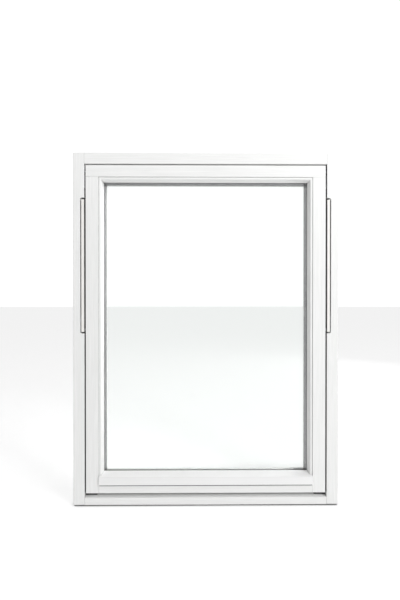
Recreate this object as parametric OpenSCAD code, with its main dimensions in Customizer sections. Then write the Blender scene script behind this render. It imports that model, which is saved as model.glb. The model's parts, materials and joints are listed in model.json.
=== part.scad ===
// Top-guided outward-opening timber window: frame, glazed sash, two friction
// stays with slide shoes, and a bottom-rail lock with two sliding rods.
// X runs across the window, Y from the outside (-) to the room (+), Z up.
// Depths called "u" are measured from the outer face of the frame.

/* [Frame] */
// Overall width of the frame
frame_w = 888; // [800:1:1200]
// Overall height of the frame
frame_h = 1180; // [1160:1:1500]
// Depth of the frame through the wall
frame_d = 115; // [110:1:130]
// Width of the jambs seen from outside
jamb_face = 37.5; // [36:0.5:50]
// Height of the head seen from outside
head_face = 37; // [36:0.5:50]
// How far the inner stops reach past the rebate
stop_w = 16; // [14:0.5:18]
// Depth at which the stops begin
stop_u = 82; // [81:0.5:84]
// Height of the sill's front edge
sill_front = 25; // [22:0.5:26]
// Height of the crest behind the sill's slope
sill_crest = 29; // [27:0.5:29]
// Height of the floor of the channel behind the crest
sill_floor = 24; // [23:0.5:24]
// Height of the sill's inner stop
sill_stop = 46; // [42:0.5:46]
// Depth over which the sill slopes up to its crest
sill_slope = 26; // [20:1:28]

/* [Sash] */
// Gap all round between the frame and the sash
sash_gap = 4; // [3.5:0.1:4.5]
// Depth of the sash's outer face
sash_u = 2; // [1:0.5:3]
// Thickness of the sash
sash_t = 75; // [74:0.5:76]
// Height of the sash's lower edge
sash_z = 39; // [38.5:0.5:39.5]
// Width of the stiles up to the bead joint
stile_w = 43; // [42:0.5:50]
// Height of the top rail down to the bead joint
top_rail_w = 39; // [36:0.5:50]
// Height of the glazing rebate's floor in the bottom rail
rebate_z = 74; // [74:0.5:78]
// Thickness of the inner glazing lip
lip_t = 10; // [8:0.5:12]
// Width of a bead's flat face
bead_face = 8; // [6:0.5:10]
// Width of a bead at the glass
bead_w = 13; // [12:0.5:14]
// Depth of the beads' face behind the frame's face
bead_u = 4; // [3:0.5:6]

/* [Glazing] */
// Thickness of each pane
pane_t = 4; // [3:1:5]
// Thickness of each cavity between panes
cavity_t = 12; // [10:1:13]
// Thickness of each glazing gasket
gasket_t = 2; // [1.5:0.1:2.5]
// Gap between the pane edges and the rebate
pane_gap = 4; // [3:0.5:5]

/* [Drip bead] */
// Height of the apron's lower edge
apron_z = 68.5; // [60:0.5:71.5]
// Height of the apron's upper edge
apron_top = 96; // [92:0.5:97]
// Height of the slope where it meets the glass
slope_top = 104.5; // [100:0.5:106]
// How far the apron stands out past the frame's face
apron_out = 5; // [3:0.5:8]
// Wall thickness of the aluminium profile
apron_t = 2; // [1.5:0.1:2.5]

/* [Stays] */
// Depth of the line on which the stays' pivots lie
pivot_u = 14; // [13:0.5:15]
// Height of the lower pivot on the frame
arm_z = 588; // [560:1:600]
// Distance between the two pivots of an arm
arm_l = 430; // [420:1:440]
// Distance from the upper pivot to the slide shoe
shoe_l = 102.5; // [100:0.5:105]
// Radius of the pivot pins
pin_r = 3; // [2.5:0.1:3.5]
// Running clearance of a pivot pin in its hole
pin_play = 0.06; // [0.03:0.01:0.1]
// Thickness of the arms' steel
arm_t = 3; // [2.5:0.1:3]
// Width of the arm's flange seen from outside
arm_flange = 9; // [8:0.5:10]
// Depth of the notch cut in each jamb
notch_w = 13.5; // [13.5:0.1:15]
// Depth of the notch from the jamb's outer face
notch_u = 27; // [26:1:30]

/* [Lock] */
// Height of the handle's axis
lock_z = 60; // [60:0.5:60.5]
// Depth of the middle of the lock rods
rod_u = 60.5; // [60:0.5:61]
// Number of teeth on the drive gear
gear_teeth = 12; // [12:1:12]
// Pitch radius of the drive gear
gear_r = 6; // [6:1:6]
// Distance of each locking cam from the middle when released
cam_x = 300; // [240:1:305]
// Radius of a cam roller
cam_r = 4.5; // [4:0.1:4.6]
// Length of the handle's lever from its axis
lever_l = 118; // [100:1:130]

/* [Hidden] */

$fn = 48;
eps = 1;                                 // overcut of a cutter past a face
fit = 0.1;                               // clearance of a part laid in its recess
half_w = frame_w / 2;
rebate_x = half_w - jamb_face;           // jamb's rebate face
stop_x = rebate_x - stop_w;              // jamb's stop edge
head_z = frame_h - head_face;            // head's rebate face
sash_x = rebate_x - sash_gap;            // sash's side edge
sash_top = head_z - sash_gap;            // sash's top edge
sash_back = sash_u + sash_t;             // sash's inner face
lip_u = sash_back - lip_t;               // front of the glazing lip
joint_x = sash_x - stile_w;              // stile's bead joint
joint_z = sash_top - top_rail_w;         // top rail's bead joint
sight_x = joint_x - bead_w;              // visible edge of the glass at the sides
sight_top = joint_z - bead_w;            // visible edge of the glass at the top
lip_z = slope_top - 11;                  // top of the bottom rail's lip
glass_u = lip_u - gasket_t - 3 * pane_t - 2 * cavity_t;   // outer pane's outer face
pane_x = joint_x - pane_gap;             // side edge of the panes
pane_z = rebate_z + pane_gap + 1;        // bottom edge of the panes
pane_top = joint_z - pane_gap;           // top edge of the panes
shoe_z = arm_z + arm_l + shoe_l;         // slide shoe's place when closed
arm_x = rebate_x + 1;                    // inner face of the arm's web
plate_t = 2.5;                           // sash bracket thickness
track_half = 9.3;                        // half width of the track
track_wall = 1.2;
track_depth = 7.5;
track_z = [shoe_z - 56, shoe_z + 15];
shoe_size = [5, 11, 22];
notch_z = [arm_z - 12, arm_z + arm_l + 12];
notch_r = 6;                             // corner radius of the notch
gear_u = [58, 63];                       // gear and rods, front to back
case_x = 60;                             // half length of the lock case
case_top = 72;
rod_bar = [sash_z + 3, sash_z + 8];      // height range of the long rods
lock_travel = gear_r * PI;               // rod travel over half a turn of the handle
fixing_z = [150, 1050];                  // frame fixing holes
fixing_u = 45;
fixing_r = 5;
screw_r = 1.9;
white = "white";
zinc = "silver";

// A box between two x, two u and two z.
module bar(x, u, z) {
    translate([x[0], u[0] - frame_d / 2, z[0]])
        cube([x[1] - x[0], u[1] - u[0], z[1] - z[0]]);
}

// Draws its children on the right, or mirrored on the left when s is -1.
module side(s) {
    if (s > 0) children();
    else mirror([1, 0, 0]) children();
}

// A round rod along x from x[0] to x[1], at depth u and height z.
module rod_x(r, x, u, z) {
    translate([x[0], u - frame_d / 2, z]) rotate([0, 90, 0]) cylinder(h = x[1] - x[0], r = r);
}

// A round rod along y from u[0] to u[1].
module rod_y(r, u, x, z) {
    translate([x, u[0] - frame_d / 2, z]) rotate([-90, 0, 0]) cylinder(h = u[1] - u[0], r = r);
}

// Carries a (u, z) outline along x.
module along_x(x, points) {
    translate([x[0], -frame_d / 2, 0]) rotate([90, 0, 90])
        linear_extrude(x[1] - x[0]) polygon(points);
}

// Carries an (x, z) outline along y.
module along_y(u, points) {
    translate([0, u[1] - frame_d / 2, 0]) rotate([90, 0, 0])
        linear_extrude(u[1] - u[0]) polygon(points);
}

// Carries an (x, u) outline along z.
module along_z(z, points) {
    translate([0, -frame_d / 2, z[0]]) linear_extrude(z[1] - z[0]) polygon(points);
}

// ---- Frame ----

// Places of the screws that pull the frame's corners together: [u, z].
corner_spots = [[30, 1161], [98, 1150], [40, 11], [98, 22]];
corner_reach = 45;                       // how far a corner screw enters the rail

// Notch for the arm, cut into the rebate edge with two round outer corners.
module arm_notch() {
    mid = rebate_x + notch_w - notch_r;
    bar([rebate_x - eps, mid], [-eps, notch_u], notch_z);
    bar([rebate_x - eps, rebate_x + notch_w], [-eps, notch_u],
        [notch_z[0] + notch_r, notch_z[1] - notch_r]);
    for (z = [notch_z[0] + notch_r, notch_z[1] - notch_r])
        rod_y(notch_r, [-eps, notch_u], mid, z);
}

module jamb() {
    difference() {
        along_z([0, frame_h], [[rebate_x, 0], [half_w, 0], [half_w, frame_d], [stop_x, frame_d],
                               [stop_x, stop_u], [rebate_x, stop_u]]);
        arm_notch();
        bar([rebate_x - eps, rebate_x + track_depth],
            [pivot_u - track_half - fit, pivot_u + track_half + fit],
            [track_z[0] - fit, track_z[1] + fit]);
        for (z = fixing_z) {
            rod_x(fixing_r, [rebate_x - eps, half_w + eps], fixing_u, z);
            rod_x(9, [rebate_x - eps, rebate_x + 10], fixing_u, z);
        }
        for (p = corner_spots) {
            rod_x(3, [stop_x - eps, half_w + eps], p[0], p[1]);
            rod_x(6, [half_w - 6, half_w + eps], p[0], p[1]);
        }
        for (p = frame_screw_spots) rod_x(screw_r + fit, [p[0] - eps, p[0] + 18], p[1], p[2]);
    }
}

module frame_jamb_left() { color(white) side(-1) jamb(); }
module frame_jamb_right() { color(white) side(1) jamb(); }

// Screw bores in the ends of the head and the sill.
module corner_bores(spots) {
    for (s = [-1, 1], p = spots)
        side(s) rod_x(3, [half_w - corner_reach - jamb_face, half_w], p[0], p[1]);
}

module frame_head() {
    color(white) difference() {
        union() {
            bar([-rebate_x, rebate_x], [0, stop_u], [head_z, frame_h]);
            bar([-stop_x, stop_x], [stop_u, frame_d], [head_z - stop_w, frame_h]);
        }
        corner_bores([corner_spots[0], corner_spots[1]]);
        bar([-rebate_x - eps, rebate_x + eps], [7, 10], [head_z - eps, head_z + 3]);
    }
}

module frame_sill() {
    color(white) difference() {
        union() {
            along_x([-rebate_x, rebate_x], [
                [0, 0], [stop_u, 0], [stop_u, sill_floor], [sill_slope + 10, sill_floor],
                [sill_slope + 4, sill_crest], [sill_slope, sill_crest], [0, sill_front]
            ]);
            bar([-stop_x, stop_x], [stop_u, frame_d], [0, sill_stop]);
        }
        corner_bores([corner_spots[2], corner_spots[3]]);
        bar([-rebate_x - eps, rebate_x + eps], [8, 12], [-eps, 4]);
        for (s = [-1, 1], x = keeper_screw_x)
            side(s) translate([x, rod_u + 7 - frame_d / 2, sill_floor - 16])
                cylinder(h = 20, r = screw_r + fit);
    }
}

module corner_screws() {
    color(zinc) for (s = [-1, 1], p = corner_spots) side(s) {
        rod_x(2.9, [half_w - corner_reach - jamb_face + 1, half_w - 5], p[0], p[1]);
        rod_x(5.8, [half_w - 5.9, half_w - 2], p[0], p[1]);
    }
}

// Weather seal: a flat foot and a round bulb, drawn standing on z = 0 with its top at h.
seal_foot = 1.4;
module seal_outline(w, h) {
    bulb = 1.5;
    translate([-w / 2, 0]) square([w, seal_foot]);
    translate([-0.6, 0]) square([1.2, h - bulb]);
    translate([0, h - bulb]) circle(r = bulb, $fn = 24);
}

seal_h = stop_u - sash_back - 0.8;
seal_end = shoe_z - 45;                  // the side seals stop short of the sash's turning corner
module jamb_seal() {
    translate([stop_x + 6, stop_u - frame_d / 2, sill_stop + 4]) rotate([0, 0, 180])
        linear_extrude(seal_end - sill_stop - 4) seal_outline(7, seal_h);
}

module seal_left() { color("black") side(-1) jamb_seal(); }
module seal_right() { color("black") side(1) jamb_seal(); }

module seal_top() {
    color("black") translate([-stop_x, 66 - frame_d / 2, head_z]) rotate([-90, 0, -90])
        linear_extrude(2 * stop_x) seal_outline(7, sash_gap - 0.5);
}

module seal_bottom() {
    color("black") translate([stop_x, stop_u - frame_d / 2, sill_stop - 4.5])
        rotate([0, 90, 180]) linear_extrude(2 * stop_x) seal_outline(7, seal_h);
}

// ---- Stay fittings on the frame ----

base_z = [notch_z[0] + notch_r + fit, arm_z + 52];   // stay base plate
base_x = rebate_x + notch_w;             // bottom of the notch
// Screws of the tracks and the stay bases: [x of the head's seat, u, z].
frame_screw_spots = [
    [rebate_x + track_depth, pivot_u, track_z[0] + 6],
    [rebate_x + track_depth, pivot_u, track_z[1] - 6],
    [base_x, pivot_u, arm_z + 22],
    [base_x, pivot_u, arm_z + 42]
];
screw_head_r = 3.4;
keeper_screw_x = [cam_x + 12, cam_x + 32];

module track() {
    x = [rebate_x, rebate_x + track_depth];
    difference() {
        bar(x, [pivot_u - track_half, pivot_u + track_half], track_z);
        bar([x[0] - eps, x[1] - 1.5],
            [pivot_u - track_half + track_wall, pivot_u + track_half - track_wall],
            [track_z[0] - eps, track_z[1] - 2]);
        for (i = [0, 1])
            rod_x(screw_head_r + fit, [x[0], x[1] + eps], pivot_u, frame_screw_spots[i][2]);
    }
}

module track_left() { color(zinc) side(-1) track(); }
module track_right() { color(zinc) side(1) track(); }

module stay_base() {
    difference() {
        bar([base_x - 2, base_x], [3, 25], base_z);
        for (i = [2, 3])
            rod_x(screw_head_r + fit, [base_x - 3, base_x + eps], pivot_u, frame_screw_spots[i][2]);
    }
    rod_x(pin_r, [arm_x - 0.2, base_x - 1], pivot_u, arm_z);
    rod_x(pin_r + 3, [arm_x + arm_t + 0.8, base_x - 1], pivot_u, arm_z);
    rod_x(pin_r + 2, [arm_x - 1.5, arm_x - 0.1], pivot_u, arm_z);
}

module stay_base_left() { color(zinc) side(-1) stay_base(); }
module stay_base_right() { color(zinc) side(1) stay_base(); }

module frame_fitting_screws() {
    color(zinc) for (s = [-1, 1]) side(s) {
        for (p = frame_screw_spots) {
            rod_x(screw_head_r, [p[0] - 1.4, p[0] - 0.02], p[1], p[2]);
            rod_x(screw_r, [p[0] - 0.1, p[0] + 17], p[1], p[2]);
        }
        for (x = keeper_screw_x) translate([x, rod_u + 7 - frame_d / 2, sill_floor]) {
            translate([0, 0, 0.3]) cylinder(h = 1.8, r = screw_head_r);
            translate([0, 0, -15]) cylinder(h = 15.4, r = screw_r);
        }
    }
}

// Claw that the cam slides behind: a screwed plate with a wall on the outer side.
module keeper() {
    x = [cam_x + 6, cam_x + 40];
    difference() {
        bar(x, [rod_u - 10, rod_u + 12], [sill_floor, sill_floor + 2.2]);
        for (sx = keeper_screw_x) translate([sx, rod_u + 7 - frame_d / 2, sill_floor - eps])
            cylinder(h = 5, r = screw_head_r + fit);
    }
    wall_z = [sill_floor + 2.2, sash_z - 3];
    bar(x, [rod_u - 10, rod_u - cam_r - 0.8], wall_z);
    bar([x[1] - 4, x[1]], [rod_u - cam_r - 0.8, rod_u + 2], wall_z);
}

module keeper_left() { color(zinc) side(-1) keeper(); }
module keeper_right() { color(zinc) side(1) keeper(); }

// ---- Stay arms and slide shoes ----

// Pressed angle: a web with round ends that carries both pivots, and a flange
// along its outer edge that shows in the jamb's notch.
module stay_arm() {
    web = [arm_x, arm_x + arm_t];
    difference() {
        union() {
            bar(web, [0.5, pivot_u + 10], [arm_z, arm_z + arm_l]);
            for (z = [arm_z, arm_z + arm_l]) rod_x(10, web, pivot_u, z);
            bar([arm_x, arm_x + arm_flange], [0.5, arm_t],
                [arm_z - 7, arm_z + arm_l + 6]);
        }
        for (z = [arm_z, arm_z + arm_l])
            rod_x(pin_r + pin_play, [web[0] - eps, web[1] + eps], pivot_u, z);
    }
}

module stay_arm_left() { color("ivory") side(-1) stay_arm(); }
module stay_arm_right() { color("ivory") side(1) stay_arm(); }

// Plastic washers pressed on the arms around the pivots.
module arm_washers() {
    color("dimgray") for (s = [-1, 1]) side(s) {
        difference() {
            rod_x(8, [arm_x + arm_t, arm_x + arm_t + 0.6], pivot_u, arm_z);
            rod_x(pin_r + 0.1, [arm_x, arm_x + 9], pivot_u, arm_z);
        }
        difference() {
            rod_x(8, [sash_x + 0.5, arm_x], pivot_u, arm_z + arm_l);
            rod_x(pin_r + 0.1, [sash_x - eps, arm_x + eps], pivot_u, arm_z + arm_l);
        }
    }
}

// Nylon shoe with rounded ends and a bore for the sash bracket's upper pin.
module slide_shoe() {
    x = [rebate_x + 0.5, rebate_x + 0.5 + shoe_size[0]];
    round_r = shoe_size[1] / 2;
    flat = shoe_size[2] / 2 - round_r;
    difference() {
        union() {
            bar(x, [pivot_u - round_r, pivot_u + round_r], [shoe_z - flat, shoe_z + flat]);
            for (z = [shoe_z - flat, shoe_z + flat]) rod_x(round_r, x, pivot_u, z);
        }
        rod_x(pin_r + pin_play, [x[0] - eps, x[1] + eps], pivot_u, shoe_z);
    }
}

module slide_shoe_left() { color("dimgray") side(-1) slide_shoe(); }
module slide_shoe_right() { color("dimgray") side(1) slide_shoe(); }

// ---- Sash timber ----

// Screws of the sash brackets, as heights above the lower of the two pivots.
bracket_screw_dz = [24, 47, 70];
bracket_z = [arm_z + arm_l - 18, shoe_z + 12];
bracket_u = [pivot_u - 10, pivot_u + 10];
// Screws of the sash corners: [u, z], along x through the stile into the bottom rail.
sash_screw_spots = [[20, 50], [40, 60]];

module stile() {
    difference() {
        union() {
            bar([joint_x, sash_x], [sash_u, lip_u], [sash_z, joint_z]);
            bar([sight_x, sash_x], [lip_u, sash_back], [sash_z, joint_z]);
        }
        bar([sash_x - plate_t, sash_x + eps], [bracket_u[0] - fit, bracket_u[1] + fit],
            [bracket_z[0] - fit, joint_z + eps]);
        for (dz = bracket_screw_dz)
            rod_x(screw_r + fit, [sash_x - 24, sash_x], pivot_u, arm_z + arm_l + dz);
        for (p = sash_screw_spots) {
            rod_x(2.5, [joint_x - eps, sash_x + eps], p[0], p[1]);
            rod_x(5, [sash_x - 5, sash_x + eps], p[0], p[1]);
        }
        for (p = [30, 50])
            translate([joint_x + stile_w / 2, p - frame_d / 2, joint_z - 40])
                cylinder(h = 41, r = 2.5);
        side_pins(pin_rad + pin_play, 1);
    }
}

module sash_stile_left() { color(white) side(-1) stile(); }
module sash_stile_right() { color(white) side(1) stile(); }

module sash_top_rail() {
    color(white) difference() {
        union() {
            bar([-sash_x, sash_x], [sash_u, sash_back], [joint_z, sash_top]);
            bar([-sight_x, sight_x], [lip_u, sash_back], [sight_top, joint_z]);
        }
        top_pins(pin_rad + pin_play, 1);
        for (s = [-1, 1]) side(s) {
            bar([sash_x - plate_t, sash_x + eps], [bracket_u[0] - fit, bracket_u[1] + fit],
                [joint_z - eps, bracket_z[1] + fit]);
            for (p = [30, 50]) translate([joint_x + stile_w / 2, p - frame_d / 2, joint_z - eps]) {
                cylinder(h = top_rail_w + 2 * eps, r = 2.5);
                translate([0, 0, top_rail_w - 4]) cylinder(h = 6, r = 5);
            }
        }
    }
}

// The rail's lower edge is grooved for the lock: a pocket for the case, a groove
// for the rods and a shallow seat for the faceplate.
plate_x = joint_x - 14;
plate_u = [rod_u - 8, rod_u + 8];
plate_z = [sash_z, sash_z + 2.2];
spindle_r = 7;

module sash_bottom_rail() {
    color(white) difference() {
        union() {
            bar([-joint_x, joint_x], [sash_u, lip_u], [sash_z, rebate_z]);
            bar([-sight_x, sight_x], [lip_u, sash_back], [sash_z, lip_z]);
        }
        bar([-plate_x - fit, plate_x + fit], [plate_u[0] - fit, plate_u[1] + fit],
            [sash_z - eps, plate_z[1]]);
        bar([-plate_x + 4, plate_x - 4], [rod_u - 3.2, rod_u + 3.2], [sash_z, rod_bar[1] + 1]);
        bar([-case_x - fit, case_x + fit], [rod_u - 5 - fit, rod_u + 5 + fit],
            [sash_z, case_top + fit]);
        rod_y(spindle_r, [rod_u, sash_back + eps], 0, lock_z);
        for (s = [-1, 1], p = sash_screw_spots)
            side(s) rod_x(2.5, [joint_x - 30, joint_x + eps], p[0], p[1]);
        for (s = [-1, 1])
            rod_y(screw_r + fit, [sash_back - 9, sash_back + eps], s * handle_screw_x, lock_z);
    }
}

module sash_corner_screws() {
    color(zinc) for (s = [-1, 1]) side(s) {
        for (p = sash_screw_spots) {
            rod_x(2.4, [joint_x - 28, sash_x - 4], p[0], p[1]);
            rod_x(4.8, [sash_x - 4.9, sash_x - 1], p[0], p[1]);
        }
        for (p = [30, 50]) translate([joint_x + stile_w / 2, p - frame_d / 2, 0]) {
            translate([0, 0, joint_z - 38]) cylinder(h = 38 + top_rail_w - 3, r = 2.4);
            translate([0, 0, sash_top - 3.9]) cylinder(h = 3, r = 4.8);
        }
    }
}

// ---- Glazing beads ----

bead_back = glass_u - gasket_t;          // depth of the beads' glass side
pin_len = 14;
pin_in = 6;                              // how far a pin reaches into the bead
pin_rad = 0.8;
pin_u = 18;

// Height of the drip bead's slope at depth u.
function slope_z(u) = apron_top + (slope_top - apron_top) * (u + apron_out - 1)
    / (bead_back + apron_out - 1);

module side_bead() {
    difference() {
        side_bead_solid();
        side_pins(pin_rad + pin_play, 1);
    }
}

module side_bead_solid() {
    intersection() {
        along_z([apron_top - 5, joint_z],
                [[joint_x, bead_u], [joint_x, bead_back], [sight_x, bead_back],
                 [joint_x - bead_face, bead_u]]);
        along_y([0, bead_back], [[joint_x, apron_top - 5], [joint_x, joint_z],
                                 [sight_x, sight_top], [sight_x, apron_top - 5]]);
        along_x([sight_x - eps, joint_x + eps],
                [[bead_u - eps, slope_z(bead_u - eps)], [bead_back + eps, slope_z(bead_back + eps)],
                 [bead_back + eps, joint_z], [bead_u - eps, joint_z]]);
    }
}

module bead_left() { color(white) side(-1) side_bead(); }
module bead_right() { color(white) side(1) side_bead(); }

module bead_top() {
    color(white) difference() {
        intersection() {
            along_x([-joint_x, joint_x], [[bead_u, joint_z], [bead_u, joint_z - bead_face],
                                          [bead_back, sight_top], [bead_back, joint_z]]);
            along_y([0, bead_back], [[-joint_x, joint_z], [joint_x, joint_z],
                                     [sight_x, sight_top], [-sight_x, sight_top]]);
        }
        top_pins(pin_rad + pin_play, 1);
    }
}

// Pins through the beads into the timber, four in each side and four on top.
module side_pins(r, end) {
    for (i = [0 : 3])
        rod_x(r, [joint_x - pin_in, joint_x - pin_in + pin_len + end], pin_u, 220 + i * 260);
}

module top_pins(r, end) {
    for (i = [-1.5 : 1 : 1.5])
        translate([i * 200, pin_u - frame_d / 2, joint_z - pin_in])
            cylinder(h = pin_len + end, r = r);
}

module bead_pins() {
    color(zinc) {
        for (s = [-1, 1]) side(s) side_pins(pin_rad, 0);
        top_pins(pin_rad, 0);
    }
}

// Aluminium drip bead: apron, slope up to the glass and a foot on the rebate floor.
drip_x = joint_x - 1;
cap_t = 1.5;
module drip_bead() {
    back = bead_back;
    color(white) along_x([-drip_x + cap_t, drip_x - cap_t], [
        [-apron_out, apron_z], [-apron_out + 1, apron_top], [back, slope_top], [back, rebate_z],
        [14, rebate_z], [14, rebate_z + apron_t], [back - apron_t, rebate_z + apron_t],
        [back - apron_t, slope_top - 2.6], [-apron_out + 1 + apron_t, apron_top - 1.4],
        [-apron_out + apron_t, apron_z + apron_t], [sash_u - 2.5, apron_z + apron_t],
        [sash_u - 2.5, apron_z]
    ]);
}

module drip_bead_caps() {
    color(white) for (s = [-1, 1]) side(s) along_x([drip_x - cap_t, drip_x], [
        [-apron_out, apron_z], [-apron_out + 1, apron_top], [bead_back, slope_top],
        [bead_back, rebate_z], [sash_u - 0.2, rebate_z], [sash_u - 0.2, apron_z]
    ]);
}

// ---- Glazing ----

// A rectangular ring of the given width, inside the outer size, from u[0] to u[1].
module ring(outer_x, z, w, u) {
    difference() {
        bar([-outer_x, outer_x], u, z);
        bar([-outer_x + w, outer_x - w], [u[0] - eps, u[1] + eps], [z[0] + w, z[1] - w]);
    }
}

function pane_u(i) = glass_u + i * (pane_t + cavity_t);
pane_zs = [pane_z, pane_top];

module pane(i) {
    bar([-pane_x, pane_x], [pane_u(i), pane_u(i) + pane_t], pane_zs);
}

module outer_pane() { color("lightcyan", 0.4) pane(0); }
module middle_pane() { color("lightcyan", 0.4) pane(1); }
module inner_pane() { color("lightcyan", 0.4) pane(2); }

seal_band = 3;                           // width of the edge seal behind the spacers
spacer_w = 6.5;
module spacer(i) {
    ring(pane_x - seal_band, [pane_z + seal_band, pane_top - seal_band], spacer_w,
         [pane_u(i) + pane_t, pane_u(i + 1)]);
}

module spacer_outer() { color("gray") spacer(0); }
module spacer_inner() { color("gray") spacer(1); }

module edge_seal() {
    color("black") for (i = [0, 1])
        ring(pane_x, pane_zs, seal_band, [pane_u(i) + pane_t, pane_u(i + 1)]);
}

gasket_w = 8;
module glazing_gasket_outer() {
    color("black") ring(pane_x, pane_zs, gasket_w, [glass_u - gasket_t, glass_u]);
}

module glazing_gasket_inner() {
    color("black") ring(pane_x, pane_zs, gasket_w, [lip_u - gasket_t, lip_u]);
}

module setting_blocks() {
    color("royalblue") {
        for (s = [-1, 1]) side(s) {
            bar([200, 300], [glass_u + 2, lip_u - gasket_t - 2], [rebate_z, pane_z]);
            for (z = [180, 1000])
                bar([pane_x, joint_x], [glass_u + 2, lip_u - gasket_t - 2], [z, z + 60]);
        }
    }
}

// ---- Sash brackets ----

module sash_bracket() {
    x = [sash_x - plate_t, sash_x];
    low = arm_z + arm_l;
    difference() {
        bar(x, bracket_u, bracket_z);
        for (dz = bracket_screw_dz)
            rod_x(screw_head_r + fit, [x[0] - eps, x[1] + eps], pivot_u, low + dz);
    }
    rod_x(pin_r, [x[1] - 1, arm_x + arm_t + 0.3], pivot_u, low);
    rod_x(pin_r + 2, [arm_x + arm_t + 0.2, arm_x + arm_t + 1.6], pivot_u, low);
    rod_x(pin_r, [x[1] - 1, rebate_x + shoe_size[0]], pivot_u, shoe_z);
}

module sash_bracket_left() { color(zinc) side(-1) sash_bracket(); }
module sash_bracket_right() { color(zinc) side(1) sash_bracket(); }

module bracket_screws() {
    color(zinc) for (s = [-1, 1], dz = bracket_screw_dz) side(s) {
        rod_x(screw_r, [sash_x - 23, sash_x - 1], pivot_u, arm_z + arm_l + dz);
        rod_x(screw_head_r, [sash_x - plate_t + 0.1, sash_x - 0.3], pivot_u, arm_z + arm_l + dz);
    }
}

// ---- Lock ----

module lock_case() {
    u = [rod_u - 5, rod_u + 5];
    hub_r = 5.1;
    color(zinc) difference() {
        bar([-case_x, case_x], u, [plate_z[1], case_top]);
        bar([-case_x - eps, case_x + eps], [u[0] + 1, u[1] - 1], [plate_z[1] - eps, case_top - 1]);
        rod_y(hub_r, [u[0] - eps, u[1] + eps], 0, lock_z);
    }
}

slot_x = [cam_x - 4, cam_x + lock_travel + 4];
module lock_faceplate() {
    color(zinc) difference() {
        bar([-plate_x, plate_x], plate_u, plate_z);
        for (s = [-1, 1]) side(s)
            bar(slot_x, [rod_u - 3.2, rod_u + 3.2], [plate_z[0] - eps, plate_z[1] + eps]);
    }
}

// One rack tooth standing on z = 0, centred on x = 0; its pitch line is at height root_h.
module_p = 2 * gear_r / gear_teeth;      // gear module
pitch = PI * module_p;
tooth_top = 0.6;                         // tooth height above the pitch line
root_h = 0.9;                            // tooth height below the pitch line
tooth_w = pitch / 2 - 0.3;               // tooth thickness on the pitch line
flank = 20;                              // pressure angle
rack_teeth = [-1 : 1 : 6];

module rack_tooth() {
    low = tooth_w / 2 + root_h * tan(flank);
    high = tooth_w / 2 - tooth_top * tan(flank);
    polygon([[-low, -0.1], [-low, 0], [-high, root_h + tooth_top], [high, root_h + tooth_top],
             [low, 0], [low, -0.1]]);
}

// A rack and its rod on the right-hand side. up is 1 when the teeth point up.
module rack_outline(bar_h, up) {
    for (i = rack_teeth) translate([-i * pitch, 0]) mirror([0, up > 0 ? 0 : 1]) rack_tooth();
    y = up > 0 ? -bar_h : 0;
    translate([-7 * pitch, y]) square([7 * pitch + 36, bar_h]);
}

module lock_rod(up) {
    z_rack = up > 0 ? lock_z - gear_r - root_h : lock_z + gear_r + root_h;
    leg = up > 0 ? [rod_bar[0], z_rack] : [rod_bar[0], z_rack + 3.6];
    translate([0, gear_u[1] - frame_d / 2, z_rack]) rotate([90, 0, 0])
        linear_extrude(gear_u[1] - gear_u[0]) rack_outline(3.6, up);
    bar([31, 36], gear_u, leg);
    bar([31, cam_x + 10], gear_u, rod_bar);
}

module lock_rod_left() { color(zinc) side(-1) lock_rod(1); }
module lock_rod_right() { color(zinc) side(1) lock_rod(-1); }

// Mushroom cam: a stud riveted under the rod and a roller below the faceplate.
module lock_cam() {
    roller = [sash_z - 7, sash_z - 2.4];
    translate([cam_x, rod_u - frame_d / 2, 0]) {
        translate([0, 0, roller[0]]) cylinder(h = rod_bar[0] - roller[0], r = 2.5);
        translate([0, 0, roller[0]]) cylinder(h = roller[1] - roller[0], r = cam_r);
        translate([0, 0, roller[0] - 0.5]) cylinder(h = 0.8, r = cam_r - 1.2);
    }
}

module lock_cam_left() { color(zinc) side(-1) lock_cam(); }
module lock_cam_right() { color(zinc) side(1) lock_cam(); }

// Drive gear with involute flanks.
gear_base = gear_r * cos(flank);
gear_tip = gear_r + tooth_top;
gear_root = gear_r - tooth_top - 0.5;
function involute(r) = let (a = acos(min(1, gear_base / r))) tan(a) * 180 / PI - a;
function half_tooth(r) = tooth_w / 2 / gear_r * 180 / PI + involute(gear_r) - involute(r);
function polar(r, a) = [r * cos(a), r * sin(a)];
flank_r = [for (i = [0 : 4]) gear_base + i * (gear_tip - gear_base) / 4];

module gear_outline() {
    step = 360 / gear_teeth;
    polygon([
        for (i = [0 : gear_teeth - 1])
            let (mid = (i + 0.5) * step)
            each concat(
                [polar(gear_root, mid - half_tooth(gear_base))],
                [for (r = flank_r) polar(r, mid - half_tooth(r))],
                [for (j = [4 : -1 : 0]) polar(flank_r[j], mid + half_tooth(flank_r[j]))],
                [polar(gear_root, mid + half_tooth(gear_base))]
            )
    ]);
}

module square_bar(w, u) {
    bar([-w / 2, w / 2], u, [lock_z - w / 2, lock_z + w / 2]);
}

module drive_gear() {
    color("goldenrod") difference() {
        union() {
            translate([0, gear_u[1] - 0.3 - frame_d / 2, lock_z]) rotate([90, 0, 0])
                linear_extrude(gear_u[1] - gear_u[0] - 0.6) gear_outline();
            rod_y(5, [rod_u - 4.9, rod_u + 4.9], 0, lock_z);
        }
        square_bar(4.1, [rod_u - 6, rod_u + 6]);
    }
}

// ---- Handle ----

handle_screw_x = 21;
base_u = [sash_back, sash_back + 7];
lever_u = [sash_back + 29, sash_back + 41];

module handle_spindle() { color(zinc) square_bar(4, [rod_u - 4.5, sash_back + 32]); }

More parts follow.
